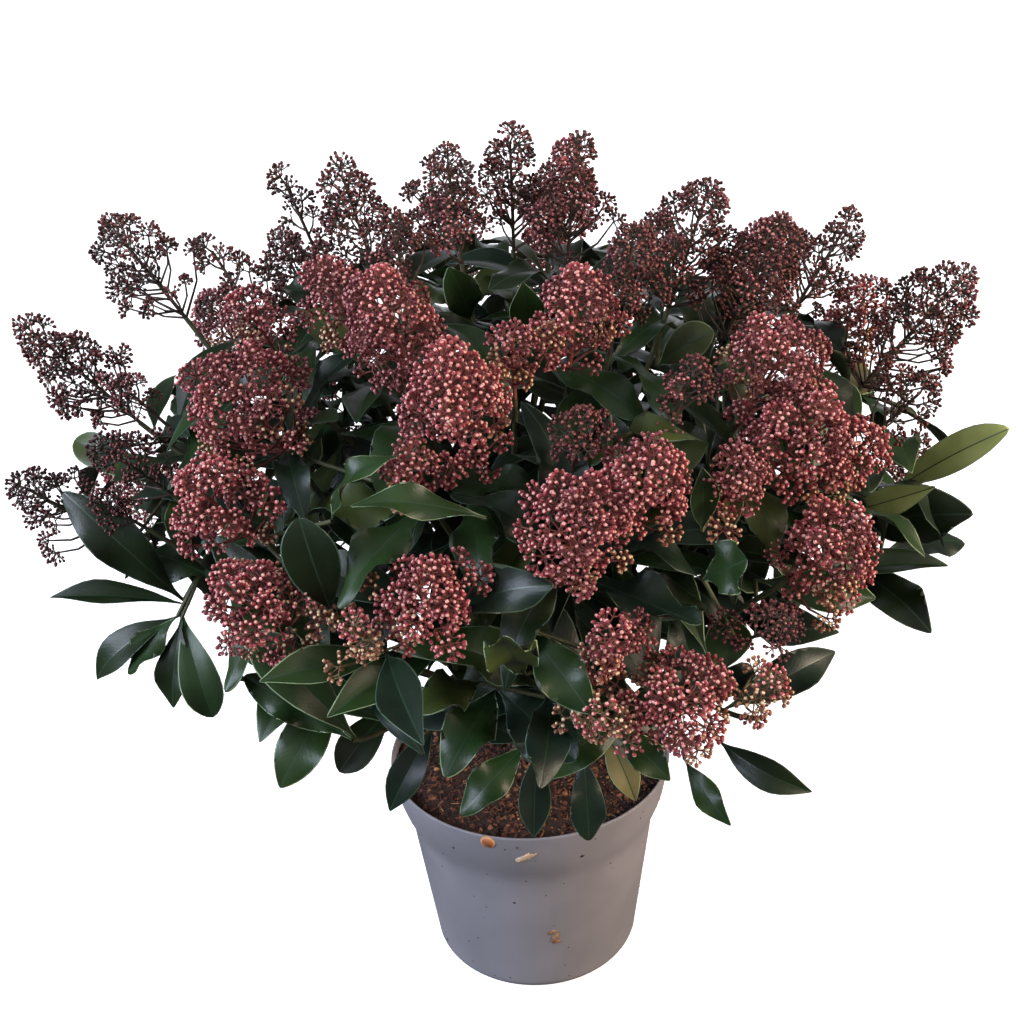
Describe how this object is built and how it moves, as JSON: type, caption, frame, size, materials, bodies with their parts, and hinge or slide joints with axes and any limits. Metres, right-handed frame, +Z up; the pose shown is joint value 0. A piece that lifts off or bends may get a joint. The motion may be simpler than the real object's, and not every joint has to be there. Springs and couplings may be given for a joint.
{
  "type": "potted skimmia shrub",
  "caption": "Round evergreen shrub in bud, with whorled leathery leaves and panicles of small buds, in a round plastic nursery pot.",
  "frame": {"origin": "middle of the pot's flat underside, where the plant stands", "axes": "+Z up; -Y is the front, the side the plant is seen from; +X is to the right from there"},
  "size_m": [0.6226, 0.5745, 0.572],
  "materials": {
    "pot_plastic": "smooth matte grey plastic",
    "peat": "rough, crumbly and fibrous, moist",
    "bark": "rough grey-brown bark",
    "foliage": "glossy leathery leaves with maroon bud panicles"
  },
  "bodies": {
    "root": {"pot": "pot_plastic", "potting_mix": "peat", "trunk": "bark", "bough_top": "bark", "bough_front_middle": "bark", "bough_left": "bark", "bough_back": "bark", "bough_right": "bark", "bough_front_left": "bark", "bough_back_left": "bark", "bough_back_right": "bark", "bough_right_front": "bark", "bough_top_left": "bark", "bough_top_right": "bark", "bough_top_back": "bark", "bough_front_high": "bark", "bough_front_low": "bark", "bough_left_high": "bark", "bough_left_low": "bark", "bough_front_low_left": "bark", "bough_left_front_low": "bark", "bough_right_low": "bark", "bough_high_right": "bark", "bough_right_front_low": "bark", "bough_right_back_low": "bark", "bough_back_low_right": "bark", "bough_back_low_left": "bark", "bough_left_back_low": "bark", "bough_right_back": "bark", "spray_top": "foliage", "spray_front_middle": "foliage", "spray_left": "foliage", "spray_back": "foliage", "spray_right": "foliage", "spray_front_left": "foliage", "spray_back_left": "foliage", "spray_back_right": "foliage", "spray_right_front": "foliage", "spray_top_left": "foliage", "spray_top_right": "foliage", "spray_top_back": "foliage", "spray_front_high": "foliage", "spray_front_low": "foliage", "spray_left_high": "foliage", "spray_left_low": "foliage", "spray_front_low_left": "foliage", "spray_left_front_low": "foliage", "spray_right_low": "foliage", "spray_high_right": "foliage", "spray_right_front_low": "foliage", "spray_right_back_low": "foliage", "spray_back_low_right": "foliage", "spray_back_low_left": "foliage", "spray_left_back_low": "foliage", "spray_right_back": "foliage"}
  },
  "joints": []
}
